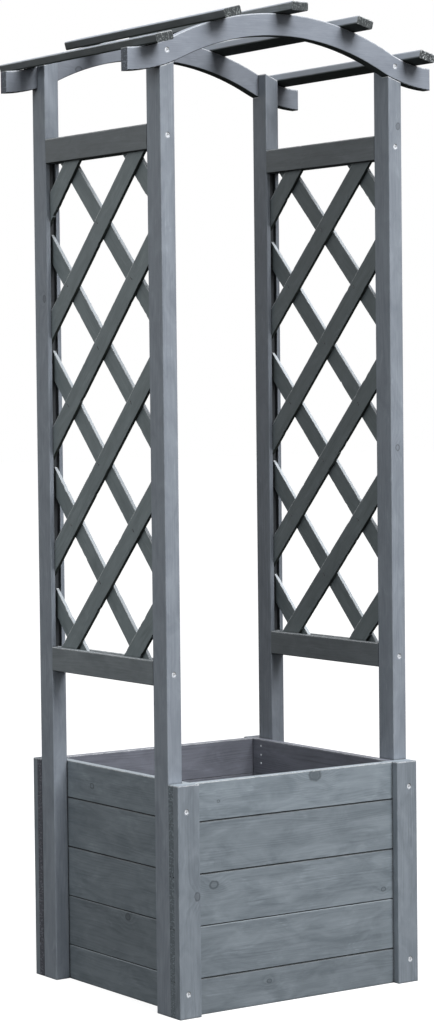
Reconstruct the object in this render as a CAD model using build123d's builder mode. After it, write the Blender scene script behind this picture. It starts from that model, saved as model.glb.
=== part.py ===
from build123d import *
import math
import os

# A small garden pergola over one planter box, in stained softwood.
# X runs along the front, Y to the back, Z up. The origin lies on the ground,
# under the middle of the four posts. All sizes are in millimetres.

# Frame
frame_width = 500.0
frame_depth = 404.0
post_width = 28.0
post_depth = 42.0
post_ease = 2.0
post_top_drop = 1.0

# Rails of the two side panels
rail_height = 42.0
low_rail_z = 546.0
high_rail_z = 1429.0
rail_ease = 1.5

# Lattice
lath_width = 35.0
lath_thickness = 6.0
lath_gap = 107.2
lath_angle = 45.7
lath_groove_depth = 7.0
lath_side_play = 0.2
lath_end_play = 0.3

# Planter walls of tongue and groove boards
wall_height = 386.0
board_thickness = 14.0
board_cover = 87.0
bottom_row_height = 60.5
board_chamfer = 1.5
joint_gap = 0.8
tongue_thickness = 4.0
tongue_length = 6.0
tongue_play = 0.3
butt_play = 0.3

# Upright trims on the corners
trim_width = 43.0
trim_thickness = 14.0
trim_ease = 1.5

# Planter floor
bearer_size = 28.0
bearer_z = 16.0
floor_thickness = 14.0
floor_boards = 4
floor_gap = 4.0
floor_end_play = 1.0

# Arches
arch_top_z = 1661.5
arch_depth = 37.5
arch_thickness = 20.0
arch_overhang = 63.0
housing_depth = 19.0
crown_radius = 495.0
flare_radius = 252.0
turn_x = 215.0
arch_ease = 1.5

# Roof slats
slat_count = 5
slat_width = 34.0
slat_thickness = 15.0
slat_length = 496.0
slat_post_gap = 2.0
slat_ease = 3.0

# Screws
shank_radius = 2.0
head_radius = 4.0
head_angle = 90.0
screw_tip = 4.0
recess_arm = 4.4
recess_width = 1.0
recess_depth = 1.4
head_sink = 0.3
bore_play = 0.2
sink_play = 0.15
bore_end_play = 0.5
arch_screw_length = 38.0
arch_screw_lift = 3.0
rail_screw_length = 75.0
trim_screw_length = 48.0
slat_screw_length = 38.0
bearer_screw_length = 60.0
floor_screw_length = 32.0
trim_screw_inset = 17.0
trim_screw_low = 41.0
trim_screw_from_top = 43.0

# Derived places
half_width = frame_width / 2
half_depth = frame_depth / 2
post_x = half_width - post_width / 2
post_y = half_depth - post_depth / 2
panel_half = half_depth - post_depth
side_wall_inner = half_width - post_width - board_thickness
end_wall_outer = half_depth + board_thickness
trim_outer = end_wall_outer + trim_thickness
arch_face = half_depth - housing_depth + arch_thickness
arch_end_x = half_width + arch_overhang
slat_spacing = 2 * (half_width + slat_post_gap + slat_width / 2) / (slat_count - 1)
lath_spacing = lath_width + lath_gap
lattice_low = low_rail_z + rail_height
lattice_middle = (lattice_low + high_rail_z) / 2
lattice_height = high_rail_z - lattice_low
groove_width = 2 * lath_thickness + 2 * lath_side_play
bore_radius = shank_radius + bore_play
sink_radius = head_radius + head_sink + sink_play
turn_angle = math.asin(turn_x / crown_radius)
crown_z = arch_top_z - arch_depth / 2 - crown_radius
flare_x = turn_x + flare_radius * math.sin(turn_angle)
flare_z = crown_z + (crown_radius + flare_radius) * math.cos(turn_angle)

os.makedirs("parts", exist_ok=True)


def finish(piece, name):
    """Name a finished piece and write it."""
    piece.part.label = name
    export_step(piece.part, "parts/" + name + ".step")


# Arch geometry
def turn_point(rise):
    """Where an edge that lies rise above the middle line turns from crown to flare."""
    radius = crown_radius + rise
    return (radius * math.sin(turn_angle), crown_z + radius * math.cos(turn_angle))


def flare_point(rise, x):
    """Point at x on the flared part of that edge."""
    radius = flare_radius - rise
    return (x, flare_z - math.sqrt(radius**2 - (x - flare_x) ** 2))


def edge_z(rise, x):
    """Height of that edge at x, on the crown or on the flare."""
    if x > turn_point(rise)[0]:
        return flare_point(rise, x)[1]
    return crown_z + math.sqrt((crown_radius + rise) ** 2 - x**2)


# Outline of an arch: a crown arc that turns into two flared, plumb-cut ends
with BuildSketch() as arch_outline:
    with BuildLine():
        for rise in (arch_depth / 2, -arch_depth / 2):
            x, z = turn_point(rise)
            ThreePointArc((-x, z), (0, crown_z + crown_radius + rise), (x, z))
            middle = flare_point(rise, (x + arch_end_x) / 2)
            end_z = flare_point(rise, arch_end_x)[1]
            for side in (-1, 1):
                ThreePointArc((side * x, z), (side * middle[0], middle[1]), (side * arch_end_x, end_z))
        for side in (-1, 1):
            top = flare_point(arch_depth / 2, arch_end_x)[1]
            bottom = flare_point(-arch_depth / 2, arch_end_x)[1]
            Line((side * arch_end_x, top), (side * arch_end_x, bottom))
    make_face()


def arch_plane(end):
    """Plane of an arch's outer face; end is -1 at the front and 1 at the back."""
    return Plane.XZ.offset(-end * arch_face)


def slat_plane(index):
    """Plane of a roof slat's underside where it rests on the arches."""
    x = (index - (slat_count - 1) / 2) * slat_spacing
    side = math.copysign(1, x)
    if abs(x) > turn_point(arch_depth / 2)[0]:
        reach = math.sqrt((flare_radius - arch_depth / 2) ** 2 - (slat_width / 2) ** 2)
        tilt = math.asin((flare_x - abs(x)) / reach)
        z = flare_z - reach * math.cos(tilt)
    else:
        tilt = math.asin(abs(x) / (crown_radius + arch_depth / 2))
        z = edge_z(arch_depth / 2, abs(x))
    lean = side * math.sin(tilt)
    return Plane(origin=(x, 0, z), x_dir=(math.cos(tilt), 0, -lean), z_dir=(lean, 0, math.cos(tilt)))


# Places of the screws, each a plane on the face where the head lies
def face_plane(x, y, z, normal):
    """Plane at a point of an upright face with the given outward normal."""
    return Plane(origin=(x, y, z), x_dir=(-normal[1], normal[0], 0), z_dir=(normal[0], normal[1], 0))


def arch_places(side, end):
    z = (edge_z(arch_depth / 2, post_x) + edge_z(-arch_depth / 2, post_x)) / 2 + arch_screw_lift
    return [face_plane(side * post_x, end * arch_face, z, (0, end))]


def rail_places(side, end, base_z):
    return [face_plane(side * post_x, end * half_depth, base_z + rail_height / 2, (0, end))]


def trim_places(side, end):
    x = side * (half_width - trim_screw_inset)
    heights = (trim_screw_low, wall_height - trim_screw_from_top)
    return [face_plane(x, end * trim_outer, z, (0, end)) for z in heights]


def slat_places(index, end):
    seat = slat_plane(index)
    y = end * (arch_face - arch_thickness / 2)
    origin = seat.origin + seat.z_dir * slat_thickness + Vector(0, y, 0)
    return [Plane(origin=origin, x_dir=seat.x_dir, z_dir=seat.z_dir)]


def bearer_places(side, end):
    x = side * (side_wall_inner - bearer_size)
    return [face_plane(x, end * post_y, bearer_z + bearer_size / 2, (-side, 0))]


def floor_places(index, side):
    x = side * (side_wall_inner - bearer_size / 2)
    top = bearer_z + bearer_size + floor_thickness
    return [Plane.XY.offset(top).shift_origin((x, floor_y(index), top))]


def floor_y(index):
    """Middle of a floor board, counted from the front."""
    pitch = floor_width + floor_gap
    return (index - (floor_boards - 1) / 2) * pitch


floor_width = (frame_depth - (floor_boards + 1) * floor_gap) / floor_boards


def bore(places, length):
    """Straight hole for the shanks."""
    with Locations(*places):
        Hole(bore_radius, depth=length + bore_end_play)


def sink(places, length):
    """Hole with a countersink for the heads."""
    with Locations(*places):
        CounterSinkHole(bore_radius, sink_radius, depth=length + bore_end_play, counter_sink_angle=head_angle)


# Posts
def make_post(name, side, end):
    """Post with a housing for the arch, a groove for the lattice and a sloping top."""
    top_inner = edge_z(arch_depth / 2, half_width - post_width) - post_top_drop
    top_outer = edge_z(arch_depth / 2, half_width) - post_top_drop
    slope = math.atan2(top_inner - top_outer, post_width)
    top_plane = Plane(
        origin=(side * half_width, 0, top_outer),
        z_dir=(side * math.sin(slope), 0, math.cos(slope)),
    )
    with BuildPart() as post:
        with BuildSketch():
            with Locations((side * post_x, end * post_y)):
                Rectangle(post_width, post_depth)
        extrude(amount=arch_top_z)
        fillet(post.edges().filter_by(Axis.Z), post_ease)
        with BuildSketch(Plane.XY.offset(lattice_low)):
            with Locations((side * post_x, end * (panel_half + lath_groove_depth / 2))):
                Rectangle(groove_width, lath_groove_depth)
        extrude(amount=lattice_height, mode=Mode.SUBTRACT)
        split(bisect_by=top_plane, keep=Keep.BOTTOM)
        with BuildSketch(arch_plane(end)):
            add(arch_outline.sketch)
        extrude(amount=end * arch_thickness, mode=Mode.SUBTRACT)
        for base_z in (low_rail_z, high_rail_z):
            sink(rail_places(side, end, base_z), rail_screw_length)
        bore(arch_places(side, end), arch_screw_length)
        bore(trim_places(side, end), trim_screw_length)
        bore(bearer_places(side, end), bearer_screw_length)
    finish(post, name)


# Rails
def make_rail(name, side, base_z, groove_z):
    """Cross rail between two posts, grooved on the edge that holds the lattice."""
    with BuildPart() as rail:
        with BuildSketch(Plane.XZ.offset(-panel_half)):
            with Locations((side * post_x, base_z + rail_height / 2)):
                RectangleRounded(post_width, rail_height, rail_ease)
            with Locations((side * post_x, groove_z)):
                Rectangle(groove_width, 2 * lath_groove_depth, mode=Mode.SUBTRACT)
        extrude(amount=2 * panel_half)
        for end in (-1, 1):
            bore(rail_places(side, end, base_z), rail_screw_length)
    finish(rail, name)


# Lattice
def make_lattice(name, side, layer):
    """One layer of parallel laths; layer is -1 on the left of the panel and 1 on the right."""
    face_x = side * post_x - (lath_thickness if layer < 0 else 0)
    panel_width = 2 * (panel_half + lath_groove_depth - lath_end_play)
    panel_height = lattice_height + 2 * (lath_groove_depth - lath_end_play)
    lath_length = math.hypot(panel_width, panel_height) + lath_spacing
    rows = 2 * math.ceil(lath_length / lath_spacing / 2)
    with BuildPart() as lattice:
        with BuildSketch(Plane.YZ.offset(face_x)):
            with Locations((0, lattice_middle)):
                with Locations(Rotation(0, 0, layer * lath_angle)):
                    with GridLocations(0, lath_spacing, 1, rows):
                        Rectangle(lath_length, lath_width)
                Rectangle(panel_width, panel_height, mode=Mode.INTERSECT)
        extrude(amount=lath_thickness)
    finish(lattice, name)


# Planter walls
def row_span(row):
    """Lower and upper shoulder of a board row, counted from the ground."""
    joint = bottom_row_height + (row - 1) * board_cover
    low = joint if row else 0
    high = min(bottom_row_height + row * board_cover - joint_gap, wall_height)
    return low, high


row_count = 1 + math.ceil((wall_height - bottom_row_height) / board_cover)


def make_board(name, row, normal, inner, length, places, screw_length):
    """Wall board with a groove below, a tongue above and a V at each visible joint."""
    low, high = row_span(row)
    direction = Vector(*normal)
    section = Plane(origin=direction * inner, x_dir=direction, z_dir=direction.cross(Vector(0, 0, 1)))
    middle = board_thickness / 2
    with BuildPart() as board:
        with BuildSketch(section):
            with Locations((middle, (low + high) / 2)):
                Rectangle(board_thickness, high - low)
            if row > 0:
                with Locations((middle, low)):
                    groove = tongue_length - joint_gap + tongue_play
                    Rectangle(tongue_thickness + 2 * tongue_play, 2 * groove, mode=Mode.SUBTRACT)
                with Locations((board_thickness, low)):
                    Rectangle(board_chamfer, board_chamfer, rotation=45, mode=Mode.SUBTRACT)
            if row < row_count - 1:
                with Locations((middle, high)):
                    Rectangle(tongue_thickness, 2 * tongue_length)
                with Locations((board_thickness, high)):
                    Rectangle(board_chamfer, board_chamfer, rotation=45, mode=Mode.SUBTRACT)
        extrude(amount=length / 2, both=True)
        crossed = [place for place in places if low < place.origin.Z < high]
        if crossed:
            bore(crossed, screw_length)
    finish(board, name)


# Corner trims
def make_trim(name, side, end):
    """Upright trim over the board ends."""
    with BuildPart() as trim:
        with BuildSketch():
            with Locations((side * (half_width - trim_width / 2), end * (end_wall_outer + trim_thickness / 2))):
                Rectangle(trim_width, trim_thickness)
        extrude(amount=wall_height)
        outer_edges = trim.edges().filter_by(Axis.Z).sort_by(Axis.Y)
        fillet(outer_edges[-2:] if end > 0 else outer_edges[:2], trim_ease)
        sink(trim_places(side, end), trim_screw_length)
    finish(trim, name)


# Planter floor
def make_bearer(name, side):
    """Bearer along a side wall, under the floor boards."""
    x = side * (side_wall_inner - bearer_size / 2)
    with BuildPart() as bearer:
        with BuildSketch(Plane.XY.offset(bearer_z)):
            with Locations((x, 0)):
                Rectangle(bearer_size, frame_depth - 2 * butt_play)
        extrude(amount=bearer_size)
        for end in (-1, 1):
            sink(bearer_places(side, end), bearer_screw_length)
        for index in range(floor_boards):
            bore(floor_places(index, side), floor_screw_length)
    finish(bearer, name)


def make_floor_board(name, index):
    """Floor board across the two bearers."""
    with BuildPart() as board:
        with BuildSketch(Plane.XY.offset(bearer_z + bearer_size)):
            with Locations((0, floor_y(index))):
                Rectangle(2 * (side_wall_inner - floor_end_play), floor_width)
        extrude(amount=floor_thickness)
        for side in (-1, 1):
            sink(floor_places(index, side), floor_screw_length)
    finish(board, name)


# Arches
def make_arch(name, end):
    """Arch board that lies in the housings of two posts."""
    with BuildPart() as arch:
        with BuildSketch(arch_plane(end)):
            add(arch_outline.sketch)
        extrude(amount=end * arch_thickness)
        faces = arch.faces().filter_by(Axis.Y)
        fillet(faces.edges(), arch_ease)
        for side in (-1, 1):
            sink(arch_places(side, end), arch_screw_length)
        for index in range(slat_count):
            bore(slat_places(index, end), slat_screw_length)
    finish(arch, name)


# Roof slats
def make_slat(name, index):
    """Slat across both arches, tilted with the curve under it."""
    seat = slat_plane(index)
    with BuildPart() as slat:
        with BuildSketch(seat):
            Rectangle(slat_width, slat_length)
        extrude(amount=slat_thickness)
        fillet(slat.edges().filter_by(Axis.Y), slat_ease)
        for end in (-1, 1):
            sink(slat_places(index, end), slat_screw_length)
    finish(slat, name)


# Screws
def make_screws(name, places, length):
    """Countersunk wood screws with a cross recess, one at each place."""
    head_depth = (head_radius - shank_radius) / math.tan(math.radians(head_angle / 2))
    with BuildPart() as screw:
        with BuildSketch(Plane.XZ):
            with BuildLine():
                Polyline(
                    (0, 0),
                    (head_radius, 0),
                    (shank_radius, -head_depth),
                    (shank_radius, screw_tip - length),
                    (0, -length),
                    close=True,
                )
            make_face()
        revolve(axis=Axis.Z)
        with BuildSketch():
            Rectangle(recess_arm, recess_width)
            Rectangle(recess_width, recess_arm)
        extrude(amount=-recess_depth, mode=Mode.SUBTRACT)
    with BuildPart() as group:
        with Locations(*[place.offset(-head_sink) for place in places]):
            add(screw.part)
    finish(group, name)


sides = {"left": -1, "right": 1}
ends = {"front": -1, "rear": 1}

for end_name, end in ends.items():
    make_arch(end_name + "_arch", end)
    for side_name, side in sides.items():
        make_post(end_name + "_" + side_name + "_post", side, end)
        make_trim(end_name + "_" + side_name + "_trim", side, end)

for side_name, side in sides.items():
    make_rail(side_name + "_low_rail", side, low_rail_z, lattice_low)
    make_rail(side_name + "_high_rail", side, high_rail_z, high_rail_z)
    make_lattice(side_name + "_lattice_rising_to_front", side, -1)
    make_lattice(side_name + "_lattice_rising_to_rear", side, 1)
    make_bearer(side_name + "_floor_bearer", side)

for row in range(row_count):
    for end_name, end in ends.items():
        trim_screws = trim_places(-1, end) + trim_places(1, end)
        name = end_name + "_wall_board_" + str(row + 1)
        make_board(name, row, (0, end, 0), half_depth, frame_width, trim_screws, trim_screw_length)
    for side_name, side in sides.items():
        bearer_screws = bearer_places(side, -1) + bearer_places(side, 1)
        name = side_name + "_wall_board_" + str(row + 1)
        length = frame_depth - 2 * butt_play
        make_board(name, row, (side, 0, 0), side_wall_inner, length, bearer_screws, bearer_screw_length)

for index in range(floor_boards):
    make_floor_board("floor_board_" + str(index + 1), index)

for index in range(slat_count):
    make_slat("roof_slat_" + str(index + 1), index)

corners = [(side, end) for side in sides.values() for end in ends.values()]
make_screws("arch_screws", [p for c in corners for p in arch_places(*c)], arch_screw_length)
rail_screw_places = [p for c in corners for z in (low_rail_z, high_rail_z) for p in rail_places(*c, z)]
make_screws("rail_screws", rail_screw_places, rail_screw_length)
make_screws("trim_screws", [p for c in corners for p in trim_places(*c)], trim_screw_length)
slat_screw_places = [p for i in range(slat_count) for e in ends.values() for p in slat_places(i, e)]
make_screws("roof_slat_screws", slat_screw_places, slat_screw_length)
make_screws("bearer_screws", [p for c in corners for p in bearer_places(*c)], bearer_screw_length)
floor_screw_places = [p for i in range(floor_boards) for s in sides.values() for p in floor_places(i, s)]
make_screws("floor_screws", floor_screw_places, floor_screw_length)
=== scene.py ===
# %% [markdown]
# A small garden pergola stands over one planter box. Everything is softwood,
# dipped in a thin grey stain, and held with bright countersunk screws. The solids
# of posts, boards, arches and slats come in as they are, so this lesson is about
# what makes them look like wood: light, grain, knots, worn edges and sawn ends.
# Only the thin laths, the nails and the staples are built here.

# %% Load the solids
import math

import bpy
import numpy as np
from mathutils import Matrix, Vector


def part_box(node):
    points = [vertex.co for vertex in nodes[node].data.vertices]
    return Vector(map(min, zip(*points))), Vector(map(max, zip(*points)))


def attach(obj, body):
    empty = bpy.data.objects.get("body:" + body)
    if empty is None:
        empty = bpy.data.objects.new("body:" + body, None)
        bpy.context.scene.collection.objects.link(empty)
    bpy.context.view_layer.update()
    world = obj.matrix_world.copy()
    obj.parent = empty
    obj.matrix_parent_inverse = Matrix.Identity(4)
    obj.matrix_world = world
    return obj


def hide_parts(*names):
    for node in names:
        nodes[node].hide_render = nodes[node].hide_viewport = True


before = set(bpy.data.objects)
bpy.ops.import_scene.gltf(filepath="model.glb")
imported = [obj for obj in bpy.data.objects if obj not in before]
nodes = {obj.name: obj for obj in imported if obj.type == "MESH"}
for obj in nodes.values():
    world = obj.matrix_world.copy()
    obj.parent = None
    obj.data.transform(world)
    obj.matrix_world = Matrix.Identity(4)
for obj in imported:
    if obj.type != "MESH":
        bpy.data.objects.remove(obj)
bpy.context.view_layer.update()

# %% [markdown]
# The camera stands at the front left, a little above the middle of the posts, and
# looks slightly down. A long lens keeps the uprights nearly parallel. Its place and
# turn were worked out from the straight edges of the timber, so they are given as
# three angles and a point instead of a target to aim at.

# %% Camera
picture_height_px = 1024
focal_px = 2744.8
camera_place = (-2.7308, -3.9414, 1.0357)
azimuth, elevation, roll = (math.radians(a) for a in (-34.647, 2.573, -0.628))


def place_in_scene(name, data):
    """New object that holds the data, linked to the scene."""
    item = bpy.data.objects.new(name, data)
    bpy.context.scene.collection.objects.link(item)
    return item


forward = Vector((
    -math.sin(azimuth) * math.cos(elevation),
    math.cos(azimuth) * math.cos(elevation),
    -math.sin(elevation),
))
right = Vector((math.cos(azimuth), math.sin(azimuth), 0))
down = -right.cross(forward)
turned_right = math.cos(roll) * right - math.sin(roll) * down
turned_down = math.sin(roll) * right + math.cos(roll) * down

# The sensor's width lies along the longer side of the picture, which is its height.
lens = bpy.data.cameras.new("camera")
lens.sensor_fit = "AUTO"
lens.sensor_width = 36.0
lens.lens = focal_px / picture_height_px * lens.sensor_width
lens.clip_end = 200.0
camera = place_in_scene("camera", lens)
columns = Matrix((turned_right, -turned_down, -forward)).transposed()
camera.matrix_world = Matrix.Translation(camera_place) @ columns.to_4x4()
bpy.context.scene.camera = camera
bpy.context.scene.view_settings.view_transform = "Standard"
print("lens: %.1f mm" % lens.lens)

# %% [markdown]
# Every material is a small graph of nodes. A few words of shorthand keep the
# graphs readable: each one adds a node, fills its inputs with numbers or joins
# them to other nodes, and hands back the output.

# %% Shorthand for node graphs
class Graph:
    """Adds nodes to a tree and joins them; inputs may be numbers or sockets."""

    def __init__(self, tree):
        self.tree = tree

    def put(self, socket, value):
        """Fill a socket with a number, or join it to another node's output."""
        if isinstance(value, bpy.types.NodeSocket):
            self.tree.links.new(value, socket)
        else:
            socket.default_value = value

    def add(self, kind, inputs=(), **settings):
        """New node with its settings made and its inputs filled."""
        node = self.tree.nodes.new(kind)
        for key, value in settings.items():
            setattr(node, key, value)
        for key, value in dict(inputs).items():
            self.put(node.inputs[key], value)
        return node

    def math(self, operation, *values, clamp=False):
        """Sum, product or another operation on numbers."""
        node = self.add("ShaderNodeMath", operation=operation, use_clamp=clamp)
        for socket, value in zip(node.inputs, values):
            self.put(socket, value)
        return node.outputs[0]

    def vector(self, operation, *values):
        """Operation on vectors; a length or a dot product comes back as a number."""
        node = self.add("ShaderNodeVectorMath", operation=operation)
        for socket, value in zip(node.inputs, values):
            self.put(socket, value)
        return node.outputs["Value" if operation in ("LENGTH", "DOT_PRODUCT") else "Vector"]

    def noise(self, vector, scale, detail=2.0, roughness=0.5, distortion=0.0):
        """Soft random values from 0 to 1, with scale bumps or so to the metre."""
        inputs = {"Vector": vector, "Scale": scale, "Detail": detail,
                  "Roughness": roughness, "Distortion": distortion}
        return self.add("ShaderNodeTexNoise", inputs).outputs["Fac"]

    def stretched_noise(self, vector, stretch, *settings):
        """Noise with its own number of bumps to the metre along each axis."""
        return self.noise(self.vector("MULTIPLY", vector, stretch), 1.0, *settings)

    def step(self, value, low, high):
        """Smooth rise from 0 at low to 1 at high."""
        node = self.add("ShaderNodeMapRange", interpolation_type="SMOOTHSTEP")
        for key, item in (("Value", value), ("From Min", low), ("From Max", high)):
            self.put(node.inputs[key], item)
        return node.outputs["Result"]

    def mix(self, factor, first, second):
        """Colour between the first, at factor 0, and the second, at factor 1."""
        node = self.add("ShaderNodeMix", data_type="RGBA")
        # The node has sockets for each type of data, and these are those for colours.
        first_colour, second_colour, colour_result = 6, 7, 2
        self.put(node.inputs["Factor"], factor)
        self.put(node.inputs[first_colour], first)
        self.put(node.inputs[second_colour], second)
        return node.outputs[colour_result]


def blank_graph(owner):
    """Empty node graph of a material or a world."""
    owner.use_nodes = True
    owner.node_tree.nodes.clear()
    return Graph(owner.node_tree)


def new_group(name, vectors, numbers, outputs):
    """Node group with named sockets, the numbers with their usual values.

    Returns the group, its graph, what it is given and where its results go.
    """
    tree = bpy.data.node_groups.new(name, "ShaderNodeTree")
    for label in vectors:
        tree.interface.new_socket(label, in_out="INPUT", socket_type="NodeSocketVector")
    for label, usual in numbers.items():
        socket = tree.interface.new_socket(label, in_out="INPUT", socket_type="NodeSocketFloat")
        socket.default_value = usual
    for label in outputs:
        tree.interface.new_socket(label, in_out="OUTPUT", socket_type="NodeSocketFloat")
    graph = Graph(tree)
    return tree, graph, graph.add("NodeGroupInput").outputs, graph.add("NodeGroupOutput").inputs


# %% [markdown]
# The stage is a plain floor that the camera sees as white, with the soft shadow of
# the object on it. To every other ray it is a dull grey, as the ground is that the
# real timber stands on: that is what keeps the undersides of the slats dark. The
# sky works the same way. It is white where it is seen or mirrored, and dim where it
# only lights the wood, though less so overhead.

# %% Floor and sky
WHITE = (1, 1, 1, 1)
floor_reach = 30.0
below_feet = 0.0005

floor_corners = [(x * floor_reach, y * floor_reach, 0) for x, y in ((-1, -1), (1, -1), (1, 1), (-1, 1))]
floor_mesh = bpy.data.meshes.new("floor")
floor_mesh.from_pydata(floor_corners, [], [(0, 1, 2, 3)])
floor = place_in_scene("floor", floor_mesh)
floor.location.z = -below_feet

# A glow lifts the floor that is seen to white, and the diffuse part takes the shadow.
floor_material = bpy.data.materials.new("floor")
g = blank_graph(floor_material)
seen = g.add("ShaderNodeLightPath").outputs["Is Camera Ray"]
takes_shadow = g.add("ShaderNodeBsdfDiffuse", {"Color": (0.4, 0.4, 0.4, 1)}).outputs[0]
glow = g.add("ShaderNodeEmission", {"Color": WHITE, "Strength": 0.86}).outputs[0]
both = g.add("ShaderNodeAddShader", {0: takes_shadow, 1: glow}).outputs[0]
dull = g.add("ShaderNodeBsdfDiffuse", {"Color": (0.07, 0.07, 0.07, 1)}).outputs[0]
ground = g.add("ShaderNodeMixShader", {0: seen, 1: dull, 2: both}).outputs[0]
g.put(g.add("ShaderNodeOutputMaterial").inputs["Surface"], ground)
floor.data.materials.append(floor_material)

world = bpy.data.worlds.new("sky")
bpy.context.scene.world = world
g = blank_graph(world)
path = g.add("ShaderNodeLightPath").outputs
mirrored = g.math("MAXIMUM", path["Is Glossy Ray"], path["Is Transmission Ray"])
shown = g.math("MAXIMUM", path["Is Camera Ray"], mirrored)
direction = g.add("ShaderNodeTexCoord").outputs["Generated"]
height = g.add("ShaderNodeSeparateXYZ", {0: direction}).outputs[2]
overhead = g.math("POWER", g.math("MAXIMUM", height, 0.0), 1.5)
strength = g.math("ADD", 0.05, g.math("MULTIPLY", overhead, 0.6))
dim = g.add("ShaderNodeBackground", {"Color": WHITE, "Strength": strength}).outputs[0]
bright = g.add("ShaderNodeBackground", {"Color": WHITE, "Strength": 1.0}).outputs[0]
sky = g.add("ShaderNodeMixShader", {0: shown, 1: dim, 2: bright}).outputs[0]
g.put(g.add("ShaderNodeOutputWorld").inputs["Surface"], sky)


# %% [markdown]
# Two soft lamps do the rest. A wide one hangs high in front, so the tops are the
# brightest faces, the fronts come next and each overhanging slat throws a soft
# shadow down the arch. A weaker one on the left lifts the side faces.

# %% Lamps
def soft_lamp(name, place, target, size, power, colour):
    """Square lamp of the given size and power that faces the target."""
    light = bpy.data.lights.new(name, "AREA")
    light.size, light.energy, light.color = size, power, colour
    lamp = place_in_scene(name, light)
    lamp.location = place
    lamp.rotation_euler = (Vector(target) - Vector(place)).to_track_quat("-Z", "Y").to_euler()
    lamp.visible_camera = False


soft_lamp("front_lamp", place=(1.2, -9.4, 8.0), target=(0, 0, 1.0),
          size=6.0, power=1530.0, colour=(0.98, 0.99, 1.0))
soft_lamp("left_lamp", place=(-8.0, -2.0, 3.0), target=(0, 0, 0.9),
          size=4.0, power=168.0, colour=(0.96, 1.0, 1.0))

# %% [markdown]
# Softwood is a stack of yearly rings. A plank is cut a little off the middle of the
# trunk, so the rings meet its face as long lines that wander with the tree. The
# grain group measures how far a point lies from the trunk's middle, lets slow noise
# bend that distance, and turns it into lines of harder late wood. A knot is a branch:
# the rings swell around it, and its own core shows as a dark oval with a rim.
#
# In these groups the first axis runs along the grain, the second across the face
# and the third into the wood. Numbers are metres, or bumps to the metre.

# %% Group: knot
knot_group, g, given, result = new_group(
    "knot", ["Vector", "Centre", "Stretch"], {"Radius": 0.008}, ["Swell", "Core", "Rim"])
away = g.vector("SUBTRACT", given["Vector"], given["Centre"])
oval = g.vector("MULTIPLY", away, given["Stretch"])
wobble = g.math("MULTIPLY", g.math("SUBTRACT", g.noise(given["Vector"], 160.0), 0.5), 0.5)
near = g.math("ADD", g.math("DIVIDE", g.vector("LENGTH", oval), given["Radius"]), wobble)
fall = g.math("EXPONENT", g.math("MULTIPLY", g.math("MULTIPLY", near, near), -0.09))
g.put(result["Swell"], g.math("MULTIPLY", fall, g.math("MULTIPLY", given["Radius"], 2.2)))
g.put(result["Core"], g.math("SUBTRACT", 1.0, g.step(near, 0.55, 1.0)))
inner = g.step(near, 0.62, 0.9)
outer = g.math("SUBTRACT", 1.0, g.step(near, 1.0, 1.35))
g.put(result["Rim"], g.math("MULTIPLY", inner, outer))

# %% Group: grain
grain_group, g, given, result = new_group(
    "grain", ["Vector"], {"Swell": 0.0, "Ring Width": 0.0045},
    ["Late Wood", "Fibre", "Cloud", "Brush", "Dust"])
from_trunk_middle = (0.0, 0.012, 0.045)
bend_of_rings = 0.05
slow = g.stretched_noise(given["Vector"], (2.2, 14.0, 14.0), 2.0)
wander = g.math("MULTIPLY", g.math("SUBTRACT", slow, 0.5), bend_of_rings)
off_middle = g.vector("ADD", given["Vector"], from_trunk_middle)
across = g.vector("MULTIPLY", off_middle, (0.0, 1.0, 1.0))
distance = g.math("ADD", g.math("ADD", g.vector("LENGTH", across), wander), given["Swell"])

# Each ring darkens slowly through the year and ends sharply.
phase = g.math("FRACT", g.math("DIVIDE", distance, given["Ring Width"]))
late = g.math("MULTIPLY", g.step(phase, 0.2, 0.88), g.math("SUBTRACT", 1.0, g.step(phase, 0.88, 1.0)))
dry_year = g.stretched_noise(given["Vector"], (5.0, 75.0, 75.0), 2.0)
near_knot = g.math("MULTIPLY", given["Swell"], 220.0, clamp=True)
shown_ring = g.math("MAXIMUM", g.step(dry_year, 0.42, 0.62), near_knot)
g.put(result["Late Wood"], g.math("MULTIPLY", late, shown_ring))

# Fine fibres, stain that took unevenly, strokes along the board, and pale dust.
fibre = g.stretched_noise(given["Vector"], (16.0, 700.0, 700.0), 3.0, 0.62)
g.put(result["Fibre"], fibre)
g.put(result["Cloud"], g.stretched_noise(given["Vector"], (13.0, 34.0, 34.0), 4.0, 0.6, 1.0))
g.put(result["Brush"], g.stretched_noise(given["Vector"], (5.0, 210.0, 210.0), 2.0))
smear = g.stretched_noise(given["Vector"], (11.0, 26.0, 26.0), 3.0, 0.65, 1.6)
g.put(result["Dust"], g.math("MULTIPLY", g.step(smear, 0.54, 0.74), g.step(fibre, 0.35, 0.7)))

# %% [markdown]
# Edges are the first place where the stain wears thin. The Bevel node gives the
# normal that a rounded edge would have, and where it leans away from the true
# normal there is an edge. Noise breaks the line up, so that it looks rubbed. Upper
# edges get a painted highlight, a broken white line of their own: there the rounded
# normal looks up, and points further up than the face does. Inner corners get painted
# shade instead: Ambient Occlusion finds the places that a near neighbour shuts in,
# such as the seam of a board with its post.

# %% Group: edge wear, painted edge highlight and painted corner shade
UPWARD = (0.0, 0.0, 1.0)
seam_reach = 0.007

edge_group, g, given, result = new_group(
    "edge_wear_and_painted_light", ["Vector"], {"Radius": 0.003}, ["Wear", "Painted Highlight", "Seam"])
lean = g.add("ShaderNodeBevel", {"Radius": given["Radius"]}, samples=4).outputs["Normal"]
face = g.add("ShaderNodeNewGeometry").outputs["True Normal"]
corner = g.step(g.math("SUBTRACT", 1.0, g.vector("DOT_PRODUCT", lean, face)), 0.02, 0.2)
patches = g.step(g.noise(given["Vector"], 55.0, 3.0, 0.6), 0.38, 0.62)
g.put(result["Wear"], g.math("MULTIPLY", corner, patches))

# Painted highlight mask: upper edges where the rounded normal looks up.
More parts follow.
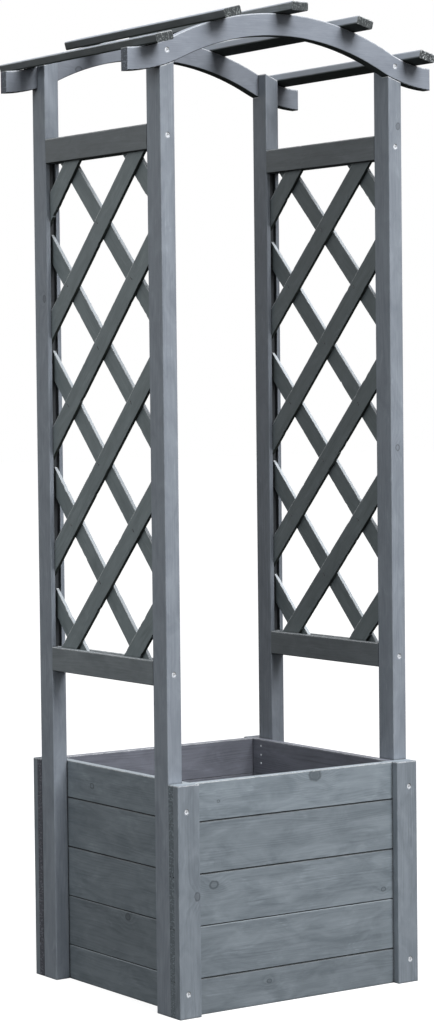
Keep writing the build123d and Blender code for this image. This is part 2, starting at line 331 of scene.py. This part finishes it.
rise = g.vector("DOT_PRODUCT", g.vector("SUBTRACT", lean, face), UPWARD)
looks_up = g.step(g.vector("DOT_PRODUCT", lean, UPWARD), 0.12, 0.3)
gaps = g.step(g.noise(given["Vector"], 90.0, 3.0, 0.6), 0.35, 0.6)
broken = g.math("ADD", 0.45, g.math("MULTIPLY", gaps, 0.55))
painted_upper_light = g.math("MULTIPLY", g.step(rise, 0.05, 0.24), looks_up)
g.put(result["Painted Highlight"], g.math("MULTIPLY", painted_upper_light, broken))

# Painted shade wherever a near neighbour shuts a corner in.
open_sky = g.add("ShaderNodeAmbientOcclusion", {"Distance": seam_reach}, samples=6).outputs["AO"]
g.put(result["Seam"], g.math("SUBTRACT", 1.0, g.step(open_sky, 0.3, 0.8)))

# %% [markdown]
# Light from above is painted into the colour: faces that look up get a paler painted
# top light, and undersides a dark painted shade. Both masks come from the height part
# of the true normal. A face that leans up a little gets a little of the painted light.

# %% Group: painted light from above
painted_light_group, g, given, result = new_group("painted_light_from_above", [], {}, ["Bleach", "Painted Underside Shade"])
up = g.vector("DOT_PRODUCT", g.add("ShaderNodeNewGeometry").outputs["True Normal"], UPWARD)
g.put(result["Bleach"], g.step(up, 0.06, 0.34))
g.put(result["Painted Underside Shade"], g.step(g.math("MULTIPLY", up, -1.0), 0.15, 0.7))

# %% [markdown]
# A sawn end drinks more stain, so it is darker than the face, and the torn fibres
# leave pale flecks in rows along the saw's path.

# %% Group: sawn ends
end_group, g, given, result = new_group("sawn_ends", ["Vector"], {}, ["Fleck", "Rough"])
rows = g.stretched_noise(given["Vector"], (60.0, 420.0, 110.0), 2.0, 0.7)
specks = g.noise(given["Vector"], 380.0, 2.0, 0.7)
g.put(result["Fleck"], g.step(g.math("MULTIPLY", rows, specks), 0.27, 0.34))
g.put(result["Rough"], g.math("ADD", rows, specks))


# %% [markdown]
# One function makes the material of every timber piece. It is told which way the
# grain runs, how deep the stain is, where the knots lie, and a seed that moves the
# piece to another place in the trunk, so no two boards repeat. Three helpers find
# the knots, the sawn ends and the dark grooves that hold the laths.

# %% Stained timber
# The object's axes that lie along the grain, across the face and into the wood.
ORDERS = {"X": (0, 2, 1), "Y": (1, 2, 0), "Z": (2, 0, 1), "Y flat": (1, 0, 2)}
PAINTED_UNDERSIDE_SHADE = (0.014, 0.02, 0.015, 1)
PAINTED_EDGE_HIGHLIGHT = (0.93, 0.95, 0.97, 1)
PAINTED_CORNER_SHADE = (0.012, 0.015, 0.016, 1)
PAINTED_GROOVE_SHADE = (0.012, 0.015, 0.017, 1)


def shade(colour, factor):
    """The colour made lighter or darker by the factor, and kept just below white."""
    return tuple(min(0.95, factor * c) for c in colour[:3]) + (1,)


def find_knots(g, place, knots):
    """How far the knots swell the rings, and where their cores and rims show.

    A knot is (place along, place across, radius, fill, on side). Fill says how dark
    its core is. On side means that it shows on the board's side and not on its face.
    """
    oval = 0.75
    swell, core, rim = 0.0, 0.0, 0.0
    for place_along, place_across, radius, fill, on_side in knots:
        knot = g.add("ShaderNodeGroup", {
            "Vector": place,
            "Radius": radius,
            "Centre": (place_along, 0.0, place_across) if on_side else (place_along, place_across, 0.0),
            "Stretch": (oval, 0.0, 1.0) if on_side else (oval, 1.0, 0.0),
        }, node_tree=knot_group)
        swell = g.math("ADD", swell, knot.outputs["Swell"])
        core = g.math("MAXIMUM", core, g.math("MULTIPLY", knot.outputs["Core"], fill))
        rim = g.math("MAXIMUM", rim, knot.outputs["Rim"])
    return swell, core, rim


def find_end(g, axis):
    """Mask of the faces that cross the grain."""
    normal = g.add("ShaderNodeNewGeometry").outputs["True Normal"]
    facing = g.add("ShaderNodeSeparateXYZ", {0: normal}).outputs[axis]
    return g.math("GREATER_THAN", g.math("ABSOLUTE", facing), 0.8)


def find_groove(g, place, middle, half_size):
    """Mask of a box and its mirror images in the planes x = 0 and y = 0."""
    from_middle = g.vector("SUBTRACT", g.vector("ABSOLUTE", place), middle)
    share = g.vector("DIVIDE", g.vector("ABSOLUTE", from_middle), half_size)
    shares = g.add("ShaderNodeSeparateXYZ", {0: share}).outputs
    furthest = g.math("MAXIMUM", shares[0], g.math("MAXIMUM", shares[1], shares[2]))
    return g.math("LESS_THAN", furthest, 1.0)


def stained_timber(name, along, pale, deep, seed, rings, figure, knots=(), end_tone=0.6,
                   fleck=None, bleached=None, crest=1.0, groove=None, uv=False):
    """Material of one piece of wood.

    The grain runs along the named axis, or along the first UV axis. The stain lies
    between pale and deep. Figure says how strongly the rings show, end_tone how
    light the sawn ends are, and crest how white the painted highlight on the
    upper edges is. Fleck is the colour of torn fibres on the ends, and
    bleached the colour of the painted light on the tops. Inner corners,
    undersides and the lath grooves get painted shade.
    """
    material = bpy.data.materials.new(name)
    g = blank_graph(material)
    coordinates = g.add("ShaderNodeTexCoord").outputs
    if uv:
        place = coordinates["UV"]
    else:
        axes = g.add("ShaderNodeSeparateXYZ", {0: coordinates["Object"]}).outputs
        ordered = [axes[i] for i in ORDERS[along]]
        place = g.add("ShaderNodeCombineXYZ", dict(enumerate(ordered))).outputs[0]
    moved = g.vector("ADD", place, (seed * 1.37, seed * 0.061 % 0.05, 0.0))

    swell, core, rim = find_knots(g, place, knots)
    grain_inputs = {"Vector": moved, "Swell": swell, "Ring Width": rings}
    grain = g.add("ShaderNodeGroup", grain_inputs, node_tree=grain_group)
    late, fibre, cloud, brush = (grain.outputs[k] for k in ("Late Wood", "Fibre", "Cloud", "Brush"))

    # Stain: clouds, strokes and fibres make it paler, and late wood deeper.
    tone = g.math("ADD", g.math("MULTIPLY", cloud, 1.5), g.math("MULTIPLY", brush, 0.5 * figure))
    tone = g.math("ADD", tone, g.math("MULTIPLY", fibre, 0.6))
    tone = g.math("SUBTRACT", tone, g.math("MULTIPLY", late, 0.4 * figure))
    tone = g.math("SUBTRACT", tone, 0.72 + 0.18 * figure, clamp=True)
    colour = g.mix(tone, deep, pale)
    dark_knot = shade(deep, 0.5)
    colour = g.mix(g.math("MULTIPLY", rim, 0.85), colour, dark_knot)
    colour = g.mix(core, colour, dark_knot)
    colour = g.mix(g.math("MULTIPLY", grain.outputs["Dust"], 0.4), colour, shade(pale, 1.3))

    edges = g.add("ShaderNodeGroup", {"Vector": moved}, node_tree=edge_group).outputs
    colour = g.mix(g.math("MULTIPLY", edges["Wear"], 0.45), colour, shade(pale, 1.35))

    height = g.math("ADD", g.math("MULTIPLY", fibre, 0.5), g.math("MULTIPLY", late, 0.25))
    height = g.math("ADD", height, g.math("MULTIPLY", rim, -0.5))
    gloss = g.math("ADD", 0.42, g.math("MULTIPLY", cloud, 0.2))

    if not uv:
        ends = g.add("ShaderNodeGroup", {"Vector": moved}, node_tree=end_group).outputs
        cut = find_end(g, ORDERS[along][0])
        torn = g.math("MULTIPLY", ends["Fleck"], 0.8)
        sawn = g.mix(torn, shade(deep, end_tone), fleck or shade(pale, 1.1))
        colour = g.mix(cut, colour, sawn)
        sawn_height = g.math("MULTIPLY", ends["Rough"], 1.6)
        height = g.math("ADD", height, g.math("MULTIPLY", cut, sawn_height))
        gloss = g.math("ADD", gloss, g.math("MULTIPLY", cut, 0.3))

    painted_light_from_above = g.add("ShaderNodeGroup", node_tree=painted_light_group).outputs
    # Painted light from above: paler tops, and a dark painted shade on the undersides.
    colour = g.mix(g.math("MULTIPLY", painted_light_from_above["Bleach"], 0.85), colour, bleached or shade(pale, 1.4))
    colour = g.mix(g.math("MULTIPLY", painted_light_from_above["Painted Underside Shade"], 0.95), colour, PAINTED_UNDERSIDE_SHADE)
    # Painted highlight: a broken near-white line along the upper edges.
    colour = g.mix(g.math("MULTIPLY", edges["Painted Highlight"], crest), colour, PAINTED_EDGE_HIGHLIGHT)
    # Painted shade in inner corners and seams.
    colour = g.mix(g.math("MULTIPLY", edges["Seam"], 0.9), colour, PAINTED_CORNER_SHADE)
    gloss = g.math("ADD", gloss, g.math("MULTIPLY", painted_light_from_above["Painted Underside Shade"], 0.4), clamp=True)

    if groove:
        # Painted shade in the grooves that hold the laths.
        groove_shade = find_groove(g, coordinates["Object"], *groove)
        colour = g.mix(g.math("MULTIPLY", groove_shade, 0.9), colour, PAINTED_GROOVE_SHADE)

    rounded = g.add("ShaderNodeBevel", {"Radius": 0.0012}, samples=4).outputs["Normal"]
    bump_inputs = {"Strength": 0.35, "Distance": 0.0006, "Height": height, "Normal": rounded}
    bump = g.add("ShaderNodeBump", bump_inputs).outputs[0]
    looks = {"Base Color": colour, "Roughness": gloss, "Normal": bump}
    shader = g.add("ShaderNodeBsdfPrincipled", looks).outputs[0]
    g.put(g.add("ShaderNodeOutputMaterial").inputs["Surface"], shader)
    return material


def dress(node, material):
    """Give a solid its material."""
    mesh = nodes[node].data
    mesh.materials.clear()
    mesh.materials.append(material)


# %% [markdown]
# Each kind of piece has a stain of its own: the arches and posts are paler and bluer,
# and the boards of the planter greener and darker. Each stain below is a pale and a
# deep colour, and a tone makes one piece lighter or darker than its kind. The rear
# arch and the rear right post are toned darker as painted shade, and the front and
# left wall boards are mostly darker towards the bottom.
#
# The grooves that hold the laths are painted dark, as painted shade in the recess. One
# box, as its middle and half its size, serves all four posts, because they mirror each
# other. The top edges of the lower wall boards lie under the next board, and a number
# for each board scales the pale stain on that upward edge: numbers well below 1 paint
# shade into the joint above it, and one above 1 paints light.
#
# The roof slats get the palest painted light on their tops, and their sawn ends are
# flecked, most of all on the fifth, while the second has little painted highlight on its edge.
#
# Knots on the sides that the photograph shows were measured on it, in metres. Those
# on the hidden sides are made up.

# %% Dress the timber
STAINS = {
    "arch": ((0.32, 0.35, 0.404, 1), (0.218, 0.242, 0.286, 1)),
    "post": ((0.335, 0.37, 0.42, 1), (0.20, 0.225, 0.262, 1)),
    "rail": ((0.205, 0.225, 0.24, 1), (0.11, 0.125, 0.135, 1)),
    "board": ((0.285, 0.325, 0.36, 1), (0.145, 0.172, 0.195, 1)),
    "trim": ((0.29, 0.325, 0.365, 1), (0.165, 0.19, 0.218, 1)),
    "lath": ((0.265, 0.305, 0.32, 1), (0.15, 0.18, 0.19, 1)),
    "slat": ((0.15, 0.165, 0.175, 1), (0.07, 0.08, 0.084, 1)),
    "inside": ((0.212, 0.222, 0.265, 1), (0.12, 0.126, 0.152, 1)),
}
# Tones; those of the rear arch and rear right post are painted shade.
TONES_AND_PAINTED_SHADE = {
    "roof_slat_1": 0.9,
    "roof_slat_2": 0.7,
    "roof_slat_3": 1.9,
    "roof_slat_4": 1.8,
    "roof_slat_5": 2.1,
    "rear_arch": 0.72,
    "rear_right_post": 0.78,
    "left_low_rail": 1.3,
    "left_wall_board_1": 0.92,
    "left_wall_board_2": 0.85,
    "left_wall_board_3": 0.98,
    "left_wall_board_5": 1.1,
    "front_wall_board_1": 0.88,
    "front_wall_board_2": 0.96,
    "front_wall_board_5": 1.16,
}
FIGURE = {"board": 0.5, "trim": 0.6, "arch": 0.3, "post": 0.5, "slat": 0.5, "rail": 0.3}
GRAIN_OF = {"arch": "X", "post": "Z", "trim": "Z", "rail": "Y", "slat": "Y flat", "bearer": "Y"}
RING_WIDTH, SLAT_RING_WIDTH = 0.0045, 0.003
END_TONE, BOARD_END_TONE = 0.6, 0.9
# Painted light on the slat tops, and a weaker painted highlight on the second slat's edge.
PAINTED_SLAT_TOP_LIGHT = (0.56, 0.61, 0.7, 1)
SLAT_FLECK = (0.25, 0.27, 0.27, 1)
PALE_FLECKS = {"roof_slat_5": (0.62, 0.65, 0.66, 1)}
HIDDEN_EDGE_HIGHLIGHT = 0.12
EDGE_HIGHLIGHTS = {"roof_slat_2": 0.15}
LATH_GROOVE = ((0.236, 0.1645, 1.0085), (0.0066, 0.0040, 0.425))
# Painted shade, or painted light above 1, on the upward chamfer under each board.
JOINT_ROWS = {
    "front": (0.12, 0.95, 0.1, 0.1),
    "left": (1.5, 0.9, 0.3, 0.25),
    "right": (0.4, 0.4, 0.4, 0.4),
    "rear": (0.4, 0.4, 0.4, 0.4),
}
JOINTS = {
    "%s_wall_board_%d" % (wall, row): factor
    for wall, factors in JOINT_ROWS.items()
    for row, factor in enumerate(factors, 1)
}
KNOTS = {
    "front_wall_board_5": [(0.040, 0.378, 0.0088, 0.75, False), (-0.16, 0.352, 0.0022, 0.3, False)],
    "front_wall_board_3": [(-0.1706, 0.2134, 0.0062, 0.2, False), (0.1857, 0.1660, 0.0035, 0.2, False)],
    "front_wall_board_1": [(-0.06, 0.038, 0.0035, 0.3, False)],
    "front_left_trim": [(0.2004, -0.2135, 0.0052, 0.45, False)],
    "front_right_post": [(1.485, 0.242, 0.0042, 0.5, False), (0.93, 0.236, 0.004, 0.2, False)],
    "left_wall_board_5": [(0.0794, 0.3497, 0.0045, 0.2, False)],
    "left_wall_board_2": [(-0.0309, 0.1377, 0.0055, 0.5, False)],
    "right_wall_board_4": [(0.06, 0.27, 0.008, 0.2, False)],
    "right_wall_board_2": [(-0.09, 0.11, 0.007, 0.2, False)],
    "rear_wall_board_4": [(-0.1, 0.275, 0.009, 0.4, False), (0.16, 0.262, 0.005, 0.2, False)],
    "rear_wall_board_2": [(0.08, 0.11, 0.008, 0.2, False)],
    "rear_left_post": [(1.195, 0.170, 0.0045, 0.6, True)],
    "rear_arch": [(-0.165, 1.598, 0.005, 0.3, False)],
}


def kind_of(node):
    """Which stain and which grain direction a node has."""
    for word, along in GRAIN_OF.items():
        if word in node:
            return ("inside" if word == "bearer" else word), along
    if "floor_board" in node:
        return "inside", "X"
    along = "X" if node.startswith(("front", "rear")) else "Y"
    return ("inside" if node.startswith(("rear", "right")) else "board"), along


timber = [n for n in sorted(nodes) if "screws" not in n and "lattice" not in n]
for seed, node in enumerate(timber):
    stain, along = kind_of(node)
    tone = TONES_AND_PAINTED_SHADE.get(node, 1.0)
    pale, deep = (shade(colour, tone) for colour in STAINS[stain])
    looks = {
        "rings": RING_WIDTH,
        "figure": FIGURE.get(stain, 1.0),
        "knots": KNOTS.get(node, ()),
        "end_tone": (BOARD_END_TONE if stain == "board" else END_TONE) / tone,
        "crest": EDGE_HIGHLIGHTS.get(node, 1.0),
    }
    if stain == "slat":
        looks.update(rings=SLAT_RING_WIDTH, bleached=PAINTED_SLAT_TOP_LIGHT, fleck=PALE_FLECKS.get(node, SLAT_FLECK))
    if stain == "post":
        looks["groove"] = LATH_GROOVE
    if node in JOINTS:
        looks.update(bleached=shade(pale, JOINTS[node]), crest=HIDDEN_EDGE_HIGHLIGHT)
    dress(node, stained_timber(node, along, pale, deep, seed, **looks))
print("timber pieces dressed:", len(timber))

# %% [markdown]
# The screws are zinc plated steel. Uneven plating shows in the colour, the bump and
# how rough the metal looks. The head is sunk in its hole, so its upper right gets
# painted shade and its lower left a painted lit side. The slopes of its cross recess
# are painted nearly black, as painted shade.

# %% Screws
lit_side = (-0.7, 0.0, -0.7)

zinc = bpy.data.materials.new("zinc_plate")
g = blank_graph(zinc)
spot = g.add("ShaderNodeTexCoord").outputs["Object"]
grey = g.noise(spot, 900.0, 3.0)
plate = g.mix(grey, (0.84, 0.88, 0.93, 1), (0.94, 0.96, 1.0, 1))
lean = g.add("ShaderNodeBevel", {"Radius": 0.003}, samples=6).outputs["Normal"]
# Painted light and shade across the head.
lit = g.step(g.vector("DOT_PRODUCT", lean, lit_side), -0.5, -0.05)
plate = g.mix(lit, (0.2, 0.2, 0.2, 1), plate)
facing = g.vector("ABSOLUTE", g.add("ShaderNodeNewGeometry").outputs["True Normal"])
facing = g.add("ShaderNodeSeparateXYZ", {0: facing}).outputs
squarest = g.math("MAXIMUM", facing[0], g.math("MAXIMUM", facing[1], facing[2]))
# Painted shade on the slopes of the recess and the countersink.
plate = g.mix(g.step(squarest, 0.9, 0.98), (0.04, 0.04, 0.045, 1), plate)
shine = g.math("ADD", 0.28, g.math("MULTIPLY", g.noise(spot, 1500.0, 2.0), 0.25))
scratch = g.add("ShaderNodeBump", {"Strength": 0.2, "Distance": 0.0002, "Height": grey}).outputs[0]
looks = {"Base Color": plate, "Metallic": 0.15, "Roughness": shine, "Normal": scratch}
metal = g.add("ShaderNodeBsdfPrincipled", looks).outputs[0]
g.put(g.add("ShaderNodeOutputMaterial").inputs["Surface"], metal)
for node in nodes:
    if "screws" in node:
        dress(node, zinc)


# %% [markdown]
# The laths are thin, and their long edges are torn here and there where the grain
# lifted in the saw. Each lath is a tube with a rounded rectangle for its section,
# carried along the diagonal from one side of the opening to the other. For every
# line of the tube the ends are worked out on the frame's rectangle, so the lath is
# cut to the frame as the real one is. Chips are soft dents in the edge lines.

# %% The shape of a lath
def section(width, thickness, radius, corner_steps=3):
    """Rounded rectangle as (across, through) rows: four corner arcs in turn."""
    angles = np.linspace(0, math.pi / 2, corner_steps + 1)
    rows = []
    for quarter, (sx, sy) in enumerate(((1, 1), (-1, 1), (-1, -1), (1, -1))):
        turn = angles + quarter * math.pi / 2
        centre = np.array([sx * (width / 2 - radius), sy * (thickness / 2 - radius)])
        rows.append(centre + radius * np.stack([np.cos(turn), np.sin(turn)], 1))
    return np.concatenate(rows)


def chips(along, rng, count=18, depth=0.00028):
    """Sum of soft dents: each is a steep bell of its own place, length and depth."""
    places = rng.uniform(along.min(), along.max(), (count, 1))
    lengths = rng.uniform(0.0012, 0.006, (count, 1))
    depths = rng.exponential(depth, (count, 1))
    return (depths * np.exp(-(((along[None, :] - places) / lengths) ** 4))).sum(0)


def lath(offset, slope, low, high, width, thickness, rng, steps=150):
    """Tube points, and along and across values, of one lath in the (y, z) plane.

    A line of the tube at distance a across the lath runs along the direction
    (cos, sin) of the slope. It starts and ends where it meets the rectangle from
    low to high, and its points are spread evenly between.
    """
    edge_radius, shortest, deepest_chip = 0.0007, 0.0002, 0.0014
    direction = np.array([math.cos(slope), math.sin(slope)])
    normal = np.array([-direction[1], direction[0]])
    ring = section(width, thickness, edge_radius)
    base = offset + ring[:, :1] * normal
    reach_1 = (low - base) / direction
    reach_2 = (high - base) / direction
    start = np.minimum(reach_1, reach_2).max(1)
    stop = np.maximum(reach_1, reach_2).min(1)
    stop = np.maximum(stop, start + shortest)
    t = np.linspace(0, 1, steps)
    along = start[None, :] + t[:, None] * (stop - start)[None, :]
    across = np.broadcast_to(ring[:, 0], along.shape).copy()
    through = np.broadcast_to(ring[:, 1], along.shape).copy()
    line = np.linspace(start.min(), stop.max(), 600)
    for side in (-1, 1):
        dents = np.interp(along, line, chips(line, rng))
        weight = np.clip((side * across / (width / 2) - 0.5) * 2, 0, 1)
        across -= side * weight * np.minimum(dents, deepest_chip)
    flat = offset + along[..., None] * direction + across[..., None] * normal
    points = np.concatenate([through[..., None], flat], 2)
    return points, along, across


def tube_faces(steps, ring, start):
    """Quads between neighbouring rings, and one closing face at each end."""
    i, j = np.meshgrid(np.arange(steps - 1), np.arange(ring), indexing="ij")
    k = (j + 1) % ring
    quads = np.stack([i * ring + j, i * ring + k, (i + 1) * ring + k, (i + 1) * ring + j], -1)
    faces = (quads.reshape(-1, 4) + start).tolist()
    faces.append((np.arange(ring)[::-1] + start).tolist())
    faces.append((np.arange(ring) + (steps - 1) * ring + start).tolist())
    return faces


def add_tube(points, faces, rows):
    """Add a tube, given as rings of points, to the lists of points and faces."""
    faces += tube_faces(*rows.shape[:2], sum(len(p) for p in points))
    points.append(rows.reshape(-1, 3))


def new_piece(name, points, faces, material, smooth):
    """Object in the scene, made from points and faces."""
    mesh = bpy.data.meshes.new(name)
    mesh.from_pydata(points.tolist(), [], faces)
    mesh.polygons.foreach_set("use_smooth", [smooth] * len(mesh.polygons))
    mesh.materials.append(material)
    print(name, "faces:", len(mesh.polygons))
    return place_in_scene(name, mesh)


# %% [markdown]
# The real laths were nailed by eye, so no two are alike. Each is given by the height
# of its centre line halfway between the posts, in metres, and by its steepness in
# degrees, both measured on the photograph where it shows them. The right panel is
# seen from its inside and lies in shade, so its wood is toned darker as painted
# shade. On both panels the upper edges get a painted light, brighter on the right.

# %% Laths
LATHS = {
    "left_lattice_rising_to_front": (
        (0.503, 45.7), (0.707, 45.4), (0.910, 45.9), (1.113, 46.0), (1.312, 45.4), (1.517, 45.7)),
    "left_lattice_rising_to_rear": (
        (0.494, 45.7), (0.700, 46.7), (0.9045, 46.5), (1.108, 46.2), (1.316, 45.4), (1.519, 45.7)),
    "right_lattice_rising_to_front": (
        (0.498, 45.5), (0.702, 45.7), (0.903, 45.9), (1.110, 46.1), (1.316, 44.8), (1.519, 45.7)),
    "right_lattice_rising_to_rear": (
        (0.497, 45.7), (0.705, 46.0), (0.906, 45.6), (1.110, 45.6), (1.312, 45.1), (1.518, 45.7)),
}
FRONT_LATH_WIDTH, REAR_LATH_WIDTH = 0.0362, 0.0342

# The right tone of 0.8 is painted shade; the last colour is the painted light on the tops.
lath_woods = {
    side: stained_timber(
        side + "_lath_wood", "Y", *(shade(colour, tone) for colour in STAINS["lath"]), seed,
        rings=0.0032, figure=0.6, bleached=painted_upper_light, uv=True)
    for side, tone, seed, painted_upper_light in (
        ("left", 1.0, 3, (0.55, 0.59, 0.63, 1)),
        ("right", 0.8, 5, (0.7, 0.75, 0.8, 1)),
    )
}


def lath_layer(name, node, seed):
    """All the laths of one layer, as one piece that stands for the node.

    The first UV axis runs along each lath and the second across it. Laths and layers
    lie far apart there, so that each has a grain of its own.
    """
    low, high = (np.array(corner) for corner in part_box(node))
    to_front = node.endswith("front")
    width = FRONT_LATH_WIDTH if to_front else REAR_LATH_WIDTH
    rng = np.random.default_rng(seed)
    points, faces, along, across = [], [], [], []
    for k, (height, steepness) in enumerate(LATHS[node]):
        slope = math.radians(180 - steepness if to_front else steepness)
        offset = np.array([0.0, height])
        rows, u, v = lath(offset, slope, low[1:], high[1:], width, high[0] - low[0], rng)
        add_tube(points, faces, rows)
        along.append(u.ravel() + 1.9 * k + 7.3 * seed)
        across.append(v.ravel() + 0.045 * k)
    points = np.concatenate(points)
    points[:, 0] += (low[0] + high[0]) / 2
    piece = new_piece(name, points, faces, lath_woods[node.split("_")[0]], smooth=False)
    mesh = piece.data
    uv_map = mesh.uv_layers.new(name="along_the_grain")
    corners = np.zeros(len(mesh.loops), np.int32)
    mesh.loops.foreach_get("vertex_index", corners)
    uv = np.stack([np.concatenate(along)[corners], np.concatenate(across)[corners]], 1)
    uv_map.data.foreach_set("uv", uv.ravel())
    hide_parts(node)
    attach(piece, "root")


for seed, side in enumerate(("left", "right")):
    for way, first_seed in (("front", 11), ("rear", 21)):
        lath_layer(side + "_laths_to_" + way, side + "_lattice_rising_to_" + way, first_seed + seed)

# %% [markdown]
# Wire staples hold the two layers of laths together, one at each crossing, all shot
# in from the same side of the panel. Only the crown shows: a short wire whose ends
# bend down into the wood. It is a round tube along an arch-shaped line, and one
# staple's points are turned and moved to every crossing, a little off its middle.

# %% Staples
def staple(length=0.0095, wire=0.00062, steps=13, sides=8):
    """Round wire along a flat arch; rows (along, across, out) in metres.

    With s running from -0.5 to 0.5 along the crown, the wire's height out of the
    wood is rise times (1 - |2 s| to the sixth power), less sink.
    """
    rise, sink = 0.0034, 0.0031
    s = np.linspace(-0.5, 0.5, steps)
    crown = rise * (1 - np.abs(2 * s) ** 6) - sink
    path = np.stack([length * s, np.zeros(steps), crown], 1)
    tangent = np.gradient(path, axis=0)
    tangent /= np.linalg.norm(tangent, axis=1)[:, None]
    up = np.stack([-tangent[:, 2], np.zeros(steps), tangent[:, 0]], 1)
    side = np.array([0.0, 1.0, 0.0])
    turn = np.arange(sides) / sides * 2 * math.pi
    ring = np.cos(turn)[None, :, None] * side + np.sin(turn)[None, :, None] * up[:, None, :]
    return path[:, None, :] + wire * ring


def plain_piece(name, points, faces, material):
    """Object from points and faces that stands still with the frame."""
    piece = new_piece(name, np.concatenate(points), faces, material, smooth=True)
    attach(piece, "root")


def crossings(side):
    """Places (y, z) where laths of a panel's two layers cross, clear of the frame."""
    furthest_y, lowest_z, highest_z = 0.13, 0.62, 1.4
    for front_height, front_steep in LATHS[side + "_lattice_rising_to_front"]:
        for rear_height, rear_steep in LATHS[side + "_lattice_rising_to_rear"]:
            front_rise, rear_rise = (math.tan(math.radians(a)) for a in (front_steep, rear_steep))
            y = (front_height - rear_height) / (front_rise + rear_rise)
            z = rear_height + y * rear_rise
            if abs(y) <= furthest_y and lowest_z < z < highest_z:
                yield y, z


rng = np.random.default_rng(5)
along_wire, across_wire, out = np.moveaxis(staple(), -1, 0)
points, faces = [], []
for side in ("left", "right"):
    face_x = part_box(side + "_lattice_rising_to_front")[0][0]
    for y, z in crossings(side):
        shot_y, shot_z = y + rng.uniform(0.0, 0.012), z + rng.uniform(-0.004, 0.006)
        turn = rng.uniform(0.4, 1.2)
        add_tube(points, faces, np.stack([
            face_x - out,
            shot_y + along_wire * math.cos(turn) - across_wire * math.sin(turn),
            shot_z + along_wire * math.sin(turn) + across_wire * math.cos(turn),
        ], -1))
plain_piece("lattice_staples", points, faces, zinc)

# %% [markdown]
# Three nails hold the top board of each side wall to each post from the inside.
# Their flat heads are low domes: a profile of radius and height, turned round.

# %% Nail heads
def nail_head(sides=14):
    """Revolved profile of (radius, height) pairs; rows (around, around, out) in metres."""
    profile = np.array([(0.0001, 0.00055), (0.0013, 0.0005), (0.0021, 0.0003), (0.0023, -0.0006)])
    turn = np.arange(sides) / sides * 2 * math.pi
    radius, height = profile[:, 0][:, None], profile[:, 1][:, None]
    return np.stack([radius * np.cos(turn), radius * np.sin(turn), height + 0 * turn], -1)


NAIL_FROM_MIDDLE = 0.176
NAIL_HEIGHTS = (0.374, 0.357, 0.342)

head = nail_head()
points, faces = [], []
for side, inward in (("left", 1), ("right", -1)):
    low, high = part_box(side + "_wall_board_5")
    inner_x = high[0] if side == "left" else low[0]
    for y in (-NAIL_FROM_MIDDLE, NAIL_FROM_MIDDLE):
        for z in NAIL_HEIGHTS:
            add_tube(points, faces, np.stack([
                inner_x + inward * head[..., 2],
                y + inward * head[..., 0],
                z + head[..., 1],
            ], -1))
plain_piece("wall_nails", points, faces, zinc)
